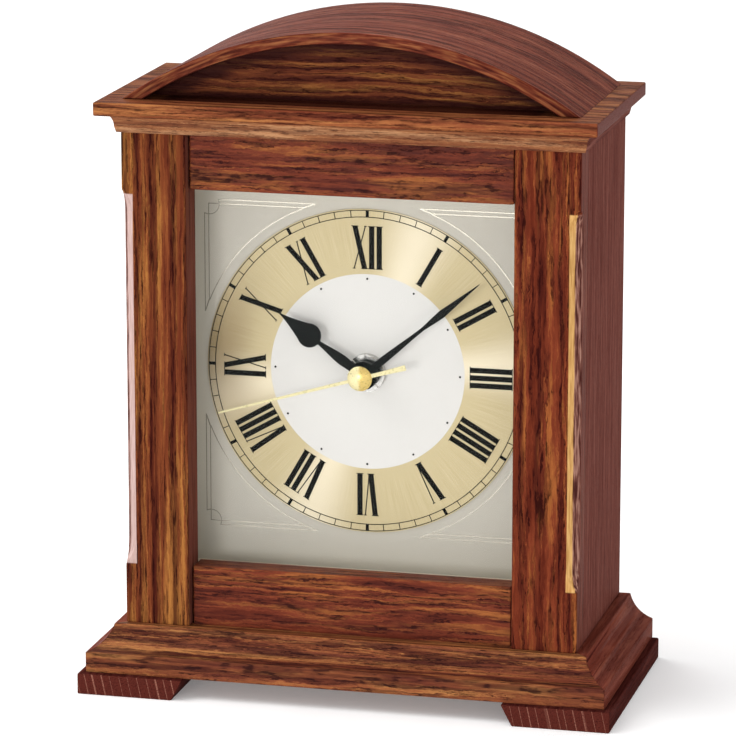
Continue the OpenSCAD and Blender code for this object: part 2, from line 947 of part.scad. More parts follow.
module movement_rear_cover() {
    color("dimgray") at_dial() difference() {
        box([-move_x, move_back, -move_x], [move_x, move_back + cover_t, move_x]);
        box([-bay_x, move_back - 1, battery_z - bay_half],
            [bay_x, move_back + cover_t + 1, battery_z + bay_half]);
        bar_y(set_r + run_fit, move_back - 1, move_back + 2, set_pos[0], set_pos[1]);
        for (p = [[0, 0], mid_pos, rotor_pos])
            bar_y(pivot_r + run_fit, move_back - 1, move_back + 0.6, p[0], p[1]);
    }
}

// A gear between y0 and y1 whose tooth size follows from its pair's distance
module gear(teeth, mate, dist, y0, y1, phase) {
    slab_y(y0, y1) gear_2d(teeth, 2 * dist / (teeth + mate), phase);
}

third_phase = mesh_phase(third_dir, 0, z_seconds_pinion, z_third);
centre_phase = mesh_phase(third_dir + 180, 0, z_third_pinion, z_centre);
motion_phase = mesh_phase(motion_dir, 0, z_cannon, z_motion);
hour_phase = mesh_phase(motion_dir + 180, 0, z_motion_pinion, z_hour);
mid_pinion_phase = mesh_phase(mid_dir, 0, z_seconds, z_mid_pinion);
rotor_phase = mesh_phase(rotor_dir, 0, z_mid, z_rotor);
set_phase = mesh_phase(set_dir, motion_phase, z_motion, z_set);

module hour_wheel() {
    color("ivory") at_dial() difference() {
        union() {
            gear(z_hour, z_motion_pinion, motion_dist, -3.2, -2.2, hour_phase);
            bar_y(pipe_r, -13.3, -2.2);
        }
        bar_y(cannon_r + run_fit, -14, -1);
    }
}

module centre_wheel() {
    color("ivory") at_dial() difference() {
        union() {
            gear(z_cannon, z_motion, motion_dist, -1.8, 0.3, 0);
            gear(z_centre, z_third_pinion, third_dist, 0.2, 1, centre_phase);
            bar_y(cannon_r, -16.3, -1.7);
        }
        bar_y(second_r + run_fit, -17, 2);
    }
}

module seconds_wheel() {
    color("ivory") at_dial() {
        gear(z_seconds_pinion, z_third, third_dist, 2.2, 3.4, 0);
        gear(z_seconds, z_mid_pinion, mid_dist, 4.9, 5.7, 0);
        bar_y(second_r, -18.6, 5.8);
        bar_y(arbor_r, 5.7, move_back - 0.1);
        bar_y(pivot_r, move_back - 0.2, move_back + 0.5);
    }
}

module third_wheel() {
    color("ivory") at_dial() translate([third_pos[0], 0, third_pos[1]]) {
        gear(z_third_pinion, z_centre, third_dist, 0, 1.3, 0);
        gear(z_third, z_seconds_pinion, third_dist, 2.4, 3.2, third_phase);
        bar_y(arbor_r, move_front + move_wall + 0.1, plate_y - 0.1);
        bar_y(pivot_r, move_front + 0.4, plate_y + 0.8);
    }
}

module motion_wheel() {
    color("ivory") at_dial() translate([motion_pos[0], 0, motion_pos[1]]) {
        gear(z_motion_pinion, z_hour, motion_dist, -3.3, -1.6, 0);
        gear(z_motion, z_cannon, motion_dist, -1.7, -0.7, motion_phase);
        bar_y(arbor_r, move_front + move_wall + 0.1, plate_y - 0.1);
        bar_y(pivot_r, move_front + 0.4, plate_y + 0.8);
    }
}

module intermediate_wheel() {
    color("ivory") at_dial() translate([mid_pos[0], 0, mid_pos[1]]) {
        gear(z_mid_pinion, z_seconds, mid_dist, 4.75, 6.4, mid_pinion_phase);
        gear(z_mid, z_rotor, rotor_dist, 6.3, 7.1, 0);
        bar_y(arbor_r, plate_y + plate_t + 0.1, move_back - 0.1);
        bar_y(pivot_r, plate_y + 0.2, move_back + 0.5);
    }
}

module rotor() {
    color("darkslategray") at_dial() translate([rotor_pos[0], 0, rotor_pos[1]]) {
        gear(z_rotor, z_mid, rotor_dist, 6, 7.4, rotor_phase);
        bar_y(arbor_r, plate_y + plate_t + 0.1, move_back - 0.1);
        bar_y(3, 7.9, 9.7);
        bar_y(pivot_r, plate_y + 0.2, move_back + 0.5);
    }
}

module stator() {
    color("silver") at_dial() difference() {
        slab_y(stator_y[0], stator_y[1]) difference() {
            translate([-14, 6.5]) square([32, 15.5]);
            translate([-8.5, 15.6]) square([21, 3.9]);
        }
        bar_y(3.5, 7, 11, rotor_pos[0], rotor_pos[1]);
        bar_y(1.2, 7, 11, mid_pos[0], mid_pos[1]);
    }
}

module coil() {
    color("sienna") at_dial() translate([0, (stator_y[0] + stator_y[1]) / 2, core_z])
        difference() {
            union() {
                translate([-7.6, 0, 0]) rotate([0, 90, 0]) cylinder(r = 2.9, h = 19.2);
                for (x = [-8.3, 11.3]) translate([x, 0, 0]) rotate([0, 90, 0]) cylinder(r = 3.3, h = 1);
            }
            translate([-9, -0.65, -1.3]) cube([22, 1.3, 2.6]);
        }
}

module circuit_board() {
    color("darkgreen") at_dial() {
        box([11, board_y, -10], [26, board_y + 1, 5]);
        bar_y(2.6, board_y + 1 - eps, board_y + 1.9, 18, -2);
        translate([13, board_y + 2, -8]) cylinder(r = 1, h = 6.5);
    }
}

module battery() {
    color("black") at_dial() translate([-battery_l / 2, battery_y, battery_z]) rotate([0, 90, 0]) {
        cylinder(r = battery_r, h = battery_l);
        translate([0, 0, battery_l - eps]) cylinder(r = 2.6, h = battery_nub + eps);
    }
}

module battery_contacts() {
    color("silver") at_dial() {
        box([-27, battery_y - 4, battery_z - 5], [-26.6, battery_y + 4, battery_z + 5]);
        translate([-26.7, battery_y, battery_z]) rotate([0, 90, 0]) cylinder(r1 = 4, r2 = 2, h = 2.2);
        box([26.4, battery_y - 4, battery_z - 5], [27, battery_y + 4, battery_z + 5]);
        translate([battery_l / 2 + battery_nub, battery_y, battery_z])
            rotate([0, 90, 0]) cylinder(r = 2.2, h = 1);
    }
}

module set_knob() {
    color("dimgray") at_dial() translate([set_pos[0], 0, set_pos[1]]) {
        gear(z_set, z_motion, set_dist, -2, -0.4, set_phase);
        bar_y(set_r, move_front + 0.4, move_back + 3);
        slab_y(move_back + 2, move_back + 7) gear_2d(24, 0.55);
    }
}

foot_left();
foot_right();
base_board();
base_moulding_front();
base_moulding_left();
base_moulding_right();
pillar_left();
pillar_right();
side_panel_left();
side_panel_right();
upper_rail();
lower_rail();
top_board();
bed_moulding_front();
bed_moulding_left();
bed_moulding_right();
cornice_slab();
arch_roof();
arch_front_panel();
arch_rear_panel();
back_frame();
base_screws();
back_frame_screws();
dial_screws();
back_door();
hinge_frame_leaves();
hinge_door_leaves();
hinge_pins();
hinge_frame_screws();
hinge_door_screws();
door_magnet();
magnet_strike();
glass_pane();
spacer_frame();
dial_plate();
chapter_ring();
dial_centre();
dial_print();
corner_ornaments();
movement_front_case();
movement_middle_plate();
movement_rear_cover();
dial_washer();
fixing_nut();
hour_hand();
minute_hand();
second_hand();
hour_wheel();
centre_wheel();
seconds_wheel();
third_wheel();
intermediate_wheel();
motion_wheel();
rotor();
stator();
coil();
circuit_board();
battery();
battery_contacts();
set_knob();
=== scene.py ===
"""Wooden mantel clock: the looks around its CAD frame.

Blender works in metres, in the CAD's own frame. Materials work in millimetres, because grain, ply and
brushing are easier to state that way."""
import math

import bmesh
import bpy
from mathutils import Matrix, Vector


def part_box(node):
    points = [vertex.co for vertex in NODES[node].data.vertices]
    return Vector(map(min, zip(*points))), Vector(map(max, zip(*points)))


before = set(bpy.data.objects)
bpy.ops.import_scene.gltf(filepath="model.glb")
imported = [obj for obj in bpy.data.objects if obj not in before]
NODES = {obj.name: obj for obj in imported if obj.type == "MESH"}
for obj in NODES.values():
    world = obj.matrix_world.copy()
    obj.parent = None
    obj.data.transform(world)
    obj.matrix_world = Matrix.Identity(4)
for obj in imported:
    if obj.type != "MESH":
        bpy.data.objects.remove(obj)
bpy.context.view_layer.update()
MM = 0.001
WHITE = (1, 1, 1, 1)


# ---------- node trees ----------

class Shader:
    """A material whose node tree is written as plain expressions."""

    def __init__(self, name):
        self.material = bpy.data.materials.new(name)
        self.material.use_nodes = True
        self.tree = self.material.node_tree
        self.surface = next(n for n in self.tree.nodes if n.type == "BSDF_PRINCIPLED")
        self.place = self.tree.nodes.new("ShaderNodeTexCoord")

    def put(self, socket, value):
        if isinstance(value, bpy.types.NodeSocket):
            self.tree.links.new(value, socket)
        else:
            socket.default_value = value

    def set(self, **values):
        """Set the shader's own sockets, such as roughness=0.4 or base_color=a socket."""
        for key, value in values.items():
            words = (w.upper() if w == "ior" else w.capitalize() for w in key.split("_"))
            self.put(self.surface.inputs[" ".join(words)], value)
        return self

    def millimetres(self, offset=(0, 0, 0)):
        """The point being shaded, in the CAD frame."""
        scaled = self.vector("SCALE", self.place.outputs["Object"], scale=1000)
        return self.vector("ADD", scaled, offset)

    def vector(self, operation, a, b=(0, 0, 0), scale=None):
        n = self.tree.nodes.new("ShaderNodeVectorMath")
        n.operation = operation
        self.put(n.inputs[0], a)
        if scale is None:
            self.put(n.inputs[1], b)
        else:
            n.inputs["Scale"].default_value = scale
        return n.outputs["Value" if operation in ("LENGTH", "DOT_PRODUCT") else "Vector"]

    def split(self, v):
        n = self.tree.nodes.new("ShaderNodeSeparateXYZ")
        self.put(n.inputs[0], v)
        return n.outputs[0], n.outputs[1], n.outputs[2]

    def join(self, x, y, z):
        n = self.tree.nodes.new("ShaderNodeCombineXYZ")
        for socket, value in zip(n.inputs, (x, y, z)):
            self.put(socket, value)
        return n.outputs[0]

    def math(self, operation, a, b=0.0, clamp=False):
        n = self.tree.nodes.new("ShaderNodeMath")
        n.operation = operation
        n.use_clamp = clamp
        self.put(n.inputs[0], a)
        self.put(n.inputs[1], b)
        return n.outputs[0]

    def noise(self, where, scale=1.0, detail=2.0, rough=0.5):
        n = self.tree.nodes.new("ShaderNodeTexNoise")
        self.put(n.inputs["Vector"], where)
        n.inputs["Scale"].default_value = scale
        n.inputs["Detail"].default_value = detail
        n.inputs["Roughness"].default_value = rough
        return n.outputs["Fac"]

    def step(self, value, low, high, out_low=0.0, out_high=1.0):
        """A smooth step from out_low at low to out_high at high."""
        n = self.tree.nodes.new("ShaderNodeMapRange")
        n.interpolation_type = "SMOOTHSTEP"
        self.put(n.inputs["Value"], value)
        n.inputs["From Min"].default_value = low
        n.inputs["From Max"].default_value = high
        n.inputs["To Min"].default_value = out_low
        n.inputs["To Max"].default_value = out_high
        return n.outputs["Result"]

    def curve(self, value, stops):
        """A grey ramp through (position, brightness) stops."""
        return self.ramp(value, [(p, (b, b, b, 1)) for p, b in stops])

    def ramp(self, value, stops):
        """A colour ramp through (position, colour) stops."""
        n = self.tree.nodes.new("ShaderNodeValToRGB")
        elements = n.color_ramp.elements
        while len(elements) < len(stops):
            elements.new(0.5)
        for element, (position, colour) in zip(elements, stops):
            element.position = position
            element.color = colour
        self.put(n.inputs[0], value)
        return n.outputs["Color"]

    def mix(self, factor, a, b, blend="MIX"):
        n = self.tree.nodes.new("ShaderNodeMix")
        n.data_type = "RGBA"
        n.blend_type = blend
        self.put(n.inputs["Factor"], factor)
        # a Mix node keeps sockets for every data type: these three are its colour ones
        self.put(n.inputs[6], a)
        self.put(n.inputs[7], b)
        return n.outputs[2]

    def facing(self, axis):
        """How squarely the surface faces along an axis, either way: 1 is square on, 0 is edge on."""
        return self.split(self.vector("ABSOLUTE", self.place.outputs["Normal"]))["xyz".index(axis)]

    def bump(self, height, depth_mm, strength=1.0):
        n = self.tree.nodes.new("ShaderNodeBump")
        n.inputs["Strength"].default_value = strength
        n.inputs["Distance"].default_value = depth_mm * MM
        self.put(n.inputs["Height"], height)
        self.put(self.surface.inputs["Normal"], n.outputs[0])


def srgb(code):
    """A linear colour from a hex code such as 8A4B2C."""
    parts = [int(code[i:i + 2], 16) / 255 for i in (0, 2, 4)]
    return tuple(c / 12.92 if c <= 0.04045 else ((c + 0.055) / 1.055) ** 2.4 for c in parts) + (1.0,)


def shades(colour, vary):
    """The same colour a little darker and a little lighter."""
    dim = tuple(c * (1 - vary) for c in colour[:3]) + (1,)
    light = tuple(min(1, c * (1 + vary)) for c in colour[:3]) + (1,)
    return dim, light


# ---------- wood ----------

# for each way the grain can run: the axes along it, across it and into the board
GRAIN = {"x": (0, 2, 1), "y": (1, 0, 2), "z": (2, 0, 1)}
# tones of the stained wood from dark to light, without its streaks
RED_OAK = ("5A2416", "713320", "93562C")
PALE_OAK = ("5E2B1A", "773F23", "9C6633")
SIDE_OAK = ("66352D", "734138", "814E44")
# the arch roof's tones are pinker than the rest: the wood's tone with a painted sheen mixed in for what
# its top catches
TOP_OAK = ("5E2519", "783828", "985942")
PAINTED_SHADE = "2A0D0C"    # painted shade for recesses, undersides and corners


def oak(name, axis, seed, pith=(-60, 70), ring=3.0, wander=1.0, contrast=1.0, tones=RED_OAK,
        dark="36120F", pore="1E0708", gloss=0.05, broken=0.0, length=1.0, end=False,
        ends=("5A2822", "260D0D"), bend=None, patch=None):
    """Stained and lacquered oak.

    axis is the way the grain runs, and pith is where the centre of the growth rings lies, in
    millimetres across the grain. ring is their spacing, wander bends them, broken breaks up the dark
    bands and length stretches every streak. end gives the cut ends their own look in the colours of
    ends, and "rays" adds light rays. bend is a circle that the grain follows. patch paints over the
    grain."""
    s = Shader(name)
    here = s.millimetres()
    parts = s.split(here)
    if bend:
        parts = bent(s, parts, *bend)
    along, across, deep = (parts[i] for i in GRAIN[axis])
    along = s.math("ADD", along, seed * 211.0)    # another stretch of the same tree for each board

    def grain(along_scale, across_scale, detail=3.0, rough=0.6, side=across, back=deep):
        return s.noise(s.join(s.math("MULTIPLY", along, along_scale / length),
                              s.math("MULTIPLY", side, across_scale),
                              s.math("MULTIPLY", back, across_scale)), 1, detail, rough)

    def shift(value, amount):
        return s.math("MULTIPLY", s.math("SUBTRACT", value, 0.5), amount)

    # distance from the pith, bent by slow, middling and fine waves, with uneven rings
    side = s.math("ADD", s.math("SUBTRACT", across, pith[0]), shift(grain(0.012, 0.045), 9 * wander))
    back = s.math("SUBTRACT", deep, pith[1])
    radius = s.vector("LENGTH", s.join(side, back, 0.0))
    radius = s.math("ADD", radius, shift(grain(0.07, 0.4), 2.0 * wander))
    radius = s.math("ADD", radius, shift(grain(0.4, 1.6), 1.0))
    uneven = s.noise(s.join(s.math("MULTIPLY", radius, 0.17), seed, 0.0), 1, 1)
    radius = s.math("ADD", radius, shift(uneven, 6))

    # dark early wood in bands, thin lines between them, and pores along both
    phase = s.math("FRACT", s.math("DIVIDE", radius, ring))
    early = s.curve(phase, [(0.0, 0.8), (0.07, 1.0), (0.26, 0.9), (0.46, 0.2),
                            (0.58, 0.0), (0.88, 0.0), (1.0, 0.8)])
    whole = s.step(grain(0.055, 0.6, 4, 0.65), 0.34 + broken, 0.54 + broken, 0.22, 1.0)
    band = s.math("MULTIPLY", early, whole)
    line = s.step(grain(0.04, 1.4, 4, 0.65, side=radius), 0.48, 0.62, 0.0, 0.75)
    stripe = s.math("MAXIMUM", band, line)
    dash = s.step(grain(0.17, 3.0, 2, 0.5, side=radius), 0.5, 0.62)
    pores = s.math("MULTIPLY", dash, s.step(stripe, 0.1, 0.8, 0.2, 1.0))
    fibre = grain(0.05, 4.5, 3, 0.6, side=radius)
    cloud = grain(0.02, 0.5, 3, 0.6, side=radius)
    tone = s.math("ADD", s.math("MULTIPLY", cloud, 0.65), s.math("MULTIPLY", fibre, 0.35))
    colour = s.ramp(tone, [(0.4, srgb(tones[0])), (0.5, srgb(tones[1])), (0.6, srgb(tones[2]))])
    colour = s.mix(s.math("MULTIPLY", stripe, 0.85 * contrast), colour, srgb(dark))
    colour = s.mix(s.math("MULTIPLY", pores, 0.8 * contrast), colour, srgb(pore))
    if end:
        cut = s.mix(s.step(dash, 0, 1, 0.1, 0.6), srgb(ends[0]), srgb(ends[1]))
        if end == "rays":
            cut = ray_lines(s, across, deep, fibre, cut)
        colour = s.mix(s.step(s.facing(axis), 0.6, 0.85), colour, cut)
    if patch:
        colour = patch(s, here, colour)
    sunk = s.math("ADD", pores, s.math("MULTIPLY", stripe, 0.25))
    s.bump(s.math("SUBTRACT", s.math("MULTIPLY", fibre, 0.3), sunk), 0.08, 0.5)
    rough = s.math("ADD", s.math("MULTIPLY", pores, 0.2), s.step(fibre, 0.3, 0.7, 0.32, 0.44))
    s.set(base_color=colour, roughness=rough, specular_ior_level=gloss)
    return s.material


def bent(s, parts, centre_z, radius):
    """Coordinates that follow an arch about the Y axis, for wood bent along it."""
    x, y, z = parts
    up = s.math("SUBTRACT", z, centre_z)
    return (s.math("MULTIPLY", s.math("ARCTAN2", x, up), radius), y,
            s.vector("LENGTH", s.join(x, up, 0.0)))


def ray_lines(s, across, deep, fibre, colour):
    """Short thin rays across end grain, upright and leaning a little."""
    lean = s.math("ADD", across, s.math("MULTIPLY", deep, 0.22))
    wave = s.noise(s.join(s.math("MULTIPLY", lean, 0.35), 0.0, 0.0), 1, 1)
    lines = s.math("FRACT", s.math("ADD", s.math("DIVIDE", lean, 3.5), s.math("MULTIPLY", wave, 1.2)))
    thin = s.step(s.math("ABSOLUTE", s.math("SUBTRACT", lines, 0.5)), 0.01, 0.06, 1.0, 0.0)
    return s.mix(s.math("MULTIPLY", thin, s.step(fibre, 0.4, 0.6, 0.1, 0.6)), colour, srgb("B07A68"))


CHAMFER_REACH = (4.25, 4.4)    # the chamfer is 4.2 mm; a point off it adds up to more than this
CHAMFER_STOP = 23              # from the end of a pillar to the end of its chamfer


def chamfer_patch(strip, edge, split):
    """The stopped chamfers cut through the stain to pale wood, and stay brown and mottled along
    their outer side; split says how far from the chamfer's middle that begins. The outer flank of
    the pillar is as plain as the side panel behind it."""
    def patch(s, here, colour):
        x, y, z = s.split(here)
        low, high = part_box("pillar_left")
        out = s.math("SUBTRACT", -low.x / MM, s.math("ABSOLUTE", x))
        back = s.math("SUBTRACT", y, low.y / MM)
        near = s.step(s.math("ADD", out, back), *CHAMFER_REACH, 1.0, 0.0)
        middle = (low.z + high.z) / 2 / MM
        half = (high.z - low.z) / 2 / MM - CHAMFER_STOP
        inside = s.step(s.math("ABSOLUTE", s.math("SUBTRACT", z, middle)), half - 0.6, half, 1.0, 0.0)
        mottle = s.noise(s.vector("MULTIPLY", here, (1.2, 1.2, 0.12)), 1, 3)
        ragged = s.math("MULTIPLY", s.math("SUBTRACT", mottle, 0.5), 1.4)
        outer = s.math("ADD", s.math("SUBTRACT", out, back), ragged)
        outer = s.step(outer, split - 0.4, split + 0.4, 1.0, 0.0)
        pale = s.ramp(mottle, [(0.36, srgb(strip[0])), (0.64, srgb(strip[1]))])
        rough = s.ramp(mottle, [(0.38, srgb(edge[0])), (0.5, srgb(edge[1])), (0.62, srgb(edge[2]))])
        colour = s.mix(s.math("MULTIPLY", near, inside), colour, s.mix(outer, pale, rough))
        flank = s.step(s.facing("x"), 0.9, 0.97, 0.0, 0.8)
        fine = s.noise(s.vector("MULTIPLY", here, (0, 1.7, 0.035)), 1, 3)
        plain_side = s.ramp(fine, [(0.36, srgb("4C2821")), (0.5, srgb("6A3A31")), (0.64, srgb("7E4A40"))])
        return s.mix(flank, colour, plain_side)
    return patch


def arch_circle():
    """The arch's centre height and outer radius, in millimetres, from the roof's own box."""
    low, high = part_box("arch_roof")
    half, rise = high.x / MM, (high.z - low.z) / MM
    radius = (half * half + rise * rise) / (2 * rise)
    return high.z / MM - radius, radius


def arch_depth(s, here):
    """How far a point lies inside the arch's outer surface, in millimetres."""
    centre_z, radius = arch_circle()
    x, _, z = s.split(here)
    return s.math("SUBTRACT", radius, s.vector("LENGTH", s.join(x, s.math("SUBTRACT", z, centre_z), 0.0)))


def soffit_streak_and_shade_patch(s, here, colour):
    """The front edge of the arch has short streaks of its own, and its underside is dark with painted
    shade.
    """
    _, front, up = s.split(s.place.outputs["Normal"])
    x, _, _ = s.split(here)
    inside = s.math("MULTIPLY", arch_depth(s, here), 0.8)
    streak = s.noise(s.join(s.math("MULTIPLY", x, 0.09), inside, 0.0), 1, 3)
    edge = s.ramp(streak, [(0.38, srgb("34120E")), (0.49, srgb("5E2A1C")), (0.66, srgb("8A5634"))])
    colour = s.mix(s.step(front, -0.9, -0.6, 0.75, 0.0), colour, edge)
    # painted shade on the arch's underside
    return s.mix(s.step(up, -0.5, -0.1, 0.85, 0.0), colour, srgb(PAINTED_SHADE))


def recess_shade_patch(s, here, colour):
    """Painted shade along the top edge of the recessed panel, under the arch, and along its foot."""
    inside = arch_depth(s, here)
    _, _, z = s.split(here)
    low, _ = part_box("arch_front_panel")
    wave = s.math("MULTIPLY", s.noise(s.vector("MULTIPLY", here, (0.06, 1, 0.5)), 1, 3), 5)
    top = s.step(s.math("SUBTRACT", inside, wave), 5.0, 10.0, 0.85, 0.0)
    foot = s.step(s.math("SUBTRACT", z, low.z / MM), 0.3, 3.0, 0.85, 0.0)
    return s.mix(s.math("MAXIMUM", top, foot), colour, srgb(PAINTED_SHADE))


def shelf_shade_patch(s, here, colour):
    """Painted shade on the strip of slab in front of the recessed panel."""
    x, y, z = s.split(here)
    _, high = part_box("arch_front_panel")
    roof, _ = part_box("arch_roof")
    _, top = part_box("cornice_slab")
    wide = s.step(s.math("ABSOLUTE", x), high.x / MM - 9, high.x / MM - 5, 1.0, 0.0)
    front = s.step(y, roof.y / MM - 0.2, roof.y / MM + 1.2)
    level = s.step(z, top.z / MM - 0.5, top.z / MM - 0.3)
    dark = s.math("MULTIPLY", s.math("MULTIPLY", wide, front), s.math("MULTIPLY", level, 0.85))
    return s.mix(dark, colour, srgb(PAINTED_SHADE))


# ---------- other materials ----------

def plain(name, colour, vary=0.12, scale=0.8, depth=0.02, **values):
    """A solid material with slight mottling and surface texture; scale is in features a millimetre,
    and further values go to the shader."""
    s = Shader(name)
    here = s.millimetres()
    mottle = s.noise(here, scale, 3)
    dim, light = shades(colour, vary)
    s.set(base_color=s.ramp(mottle, [(0.35, dim), (0.65, light)]))
    rough = values.pop("roughness", 0.5)
    s.set(roughness=s.step(s.noise(here, scale * 2.3, 2), 0.3, 0.7, rough * 0.88, rough * 1.12))
    if depth:
        s.bump(s.noise(here, scale * 4, 3), depth, 0.5)
    s.set(**values)
    return s.material


def brushed(name, colour, axis, roughness=0.35, metallic=1.0, vary=0.08, coarse=9.0):
    """Metal brushed along one axis."""
    s = Shader(name)
    stretch = [coarse, coarse, coarse]
    stretch["xyz".index(axis)] = 0.12
    lines = s.noise(s.vector("MULTIPLY", s.millimetres(), tuple(stretch)), 1, 3)
    dim, light = shades(colour, vary)
    s.set(base_color=s.ramp(lines, [(0.35, dim), (0.65, light)]), metallic=metallic)
    s.set(roughness=s.step(lines, 0.3, 0.7, roughness * 0.85, roughness * 1.15))
    s.bump(lines, 0.01, 0.4)
    return s.material


def dial_angle(s):
    """Angle about the dial's centre, in turns clockwise from twelve, and the radius in mm."""
    low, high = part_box("chapter_ring")
    centre = (low + high) / 2 / MM
    x, _, z = s.split(s.millimetres((-centre.x, 0, -centre.z)))
    turns = s.math("DIVIDE", s.math("ARCTAN2", x, z), 2 * math.pi)
    return turns, s.vector("LENGTH", s.join(x, z, 0.0))


# painted highlights where the ring shines in wedges, and a painted dark reflection on its left rim: turns
# clockwise from twelve, half width, strength
PAINTED_SHINES = [(0.057, 0.055, 0.9), (0.236, 0.046, 0.9), (0.561, 0.055, 0.85), (0.724, 0.055, 0.85)]
PAINTED_DARK_REFLECTION = (0.765, 0.13, 0.62)


def sunray_gold():
    """The gilt ring, brushed out from the centre, with painted highlights in wedges and a painted dark
    reflection of the pillar on its left rim.
    """
    s = Shader("sunray_gold")
    turns, radius = dial_angle(s)
    fine = s.noise(s.join(s.math("MULTIPLY", turns, 900.0), s.math("MULTIPLY", radius, 0.05), 0.0), 1, 3)
    gold = s.ramp(fine, [(0.3, srgb("C8B78C")), (0.7, srgb("D5C69D"))])

    def wedge(at, width, power):
        away = s.math("ABSOLUTE", s.math("SUBTRACT", s.math("FRACT", s.math("ADD", turns, 1.5 - at)), 0.5))
        return s.step(away, 0.0, width, power, 0.0)

    painted_shine = wedge(*PAINTED_SHINES[0])
    for one in PAINTED_SHINES[1:]:
        painted_shine = s.math("MAXIMUM", painted_shine, wedge(*one))
    # painted highlight wedges, then the painted dark reflection of the pillar on the rim
    colour = s.mix(painted_shine, gold, srgb("F6EACD"))
    painted_dull = s.math("MULTIPLY", wedge(*PAINTED_DARK_REFLECTION), s.step(radius, 38, 57))
    s.set(base_color=s.mix(painted_dull, colour, srgb("80653F")), metallic=0.1, specular_ior_level=0.2)
    s.set(roughness=s.step(fine, 0.3, 0.7, 0.42, 0.5), anisotropic=0.4)
    tangent = s.tree.nodes.new("ShaderNodeTangent")
    tangent.direction_type = "RADIAL"
    tangent.axis = "Y"
    s.put(s.surface.inputs["Tangent"], tangent.outputs[0])
    s.bump(fine, 0.006, 0.35)
    return s.material


CAP_EDGE = (4.6, 4.9)    # the radius at which the second hand's cap gives way to its shaft


def pale_gold():
    """Pale gilt: the thin hand is almost cream; its domed cap is a fuller gold, with a painted highlight
    across its left half.
    """
    s = Shader("pale_gold")
    _, radius = dial_angle(s)
    low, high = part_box("chapter_ring")
    middle = (low + high) / 2 / MM
    mottle = s.noise(s.millimetres(), 1.2, 3)
    shaft = s.ramp(mottle, [(0.2, srgb("CFC491")), (0.8, srgb("D8CEA2"))])
    across = s.math("ADD", s.split(s.millimetres((-middle.x, 0, 0)))[0], s.math("MULTIPLY", mottle, 0.4))
    # painted highlight on the cap's left half
    cap = s.mix(s.step(across, -0.7, 0.9), srgb("F5E9B2"), srgb("DDC06E"))
    s.set(base_color=s.mix(s.step(radius, *CAP_EDGE), cap, shaft), metallic=0.35)
    s.set(roughness=s.step(mottle, 0.3, 0.7, 0.26, 0.34))
    s.bump(mottle, 0.008, 0.4)
    return s.material


PLY = 1.2


def plywood():
    """Stained plywood: fine upright grain on its faces, bare plies on its edges."""
    s = Shader("back_board")
    here = s.millimetres()
    x, y, z = s.split(here)
    fibre = s.noise(s.join(s.math("MULTIPLY", x, 1.6), s.math("MULTIPLY", z, 0.035), 0.0), 1, 4, 0.6)
    cloud = s.noise(s.join(s.math("MULTIPLY", x, 0.09), s.math("MULTIPLY", z, 0.012), 3.0), 1, 2)
    pores = s.noise(s.join(s.math("MULTIPLY", x, 3.4), s.math("MULTIPLY", z, 0.2), 7.0), 1, 2)
    pores = s.step(pores, 0.6, 0.7)
    tone = s.math("ADD", s.math("MULTIPLY", fibre, 0.6), s.math("MULTIPLY", cloud, 0.4))
    face = s.ramp(tone, [(0.35, srgb("6B4527")), (0.5, srgb("86592F")), (0.68, srgb("9F703F"))])
    face = s.mix(s.math("MULTIPLY", pores, 0.5), face, srgb("3C2415"))
    ply = s.math("SUBTRACT", s.math("FRACT", s.math("DIVIDE", y, 2 * PLY)), 0.5)
    ply = s.step(s.math("ABSOLUTE", ply), 0.2, 0.28)
    edge = s.mix(ply, srgb("C19A66"), srgb("7A5230"))
    edge = s.mix(s.step(s.noise(here, 1.4, 3), 0.4, 0.6, 0.0, 0.35), edge, srgb("93683C"))
    s.set(base_color=s.mix(s.step(s.facing("y"), 0.5, 0.8), edge, face), roughness=0.62)
    s.bump(s.math("SUBTRACT", fibre, pores), 0.06, 0.5)
    return s.material


def clear_glass():
    """Clear glass that only adds its reflections to what lies behind it."""
    s = Shader("clear_glass")
    faint = s.noise(s.millimetres(), 0.02, 2)
    s.set(base_color=s.ramp(faint, [(0.3, (0.02, 0.035, 0.03, 1)), (0.7, (0.03, 0.045, 0.04, 1))]))
    s.set(roughness=s.step(faint, 0.3, 0.7, 0.01, 0.03), alpha=0.06)
    s.material.surface_render_method = "BLENDED"
    return s.material


def winding():
    """Enamelled copper wire laid side by side along the coil."""
    s = Shader("copper_winding")
    x, _, _ = s.split(s.millimetres())
    turns_a_millimetre = 5.0
    turn = s.math("FRACT", s.math("MULTIPLY", x, turns_a_millimetre))
    turn = s.math("ABSOLUTE", s.math("SUBTRACT", turn, 0.5))
    s.set(base_color=s.ramp(turn, [(0.05, srgb("B5561F")), (0.4, srgb("5E2208"))]))
    s.set(metallic=0.8, roughness=0.35)
    s.bump(s.step(turn, 0.0, 0.5, 1.0, 0.0), 0.08, 0.7)
    return s.material


def battery_sleeve():
    """A printed battery sleeve: a gilt band towards the plus end, which is bare metal."""
    s = Shader("battery_sleeve")
    _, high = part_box("battery")
    x, _, _ = s.split(s.millimetres())
    right = high.x / MM
    band_start, metal_start = 14.0, 2.2
    scuff = s.noise(s.millimetres(), 1.1, 3)
    body = s.ramp(scuff, [(0.35, srgb("1B1D22")), (0.65, srgb("2A2D34"))])
    band = s.step(x, right - band_start - 0.1, right - band_start)
    colour = s.mix(band, body, srgb("B98A3C"))
    metal = s.step(x, right - metal_start - 0.1, right - metal_start)
    s.set(base_color=s.mix(metal, colour, srgb("B9BBBD")))
    s.set(metallic=s.math("MAXIMUM", metal, s.math("MULTIPLY", band, 0.6)))
    s.set(roughness=s.step(scuff, 0.3, 0.7, 0.28, 0.4))
    s.bump(scuff, 0.01, 0.3)
    return s.material


# ---------- edges and assignment ----------

SHORTEST_EASED = 1.2 * MM
WELD = 1e-6


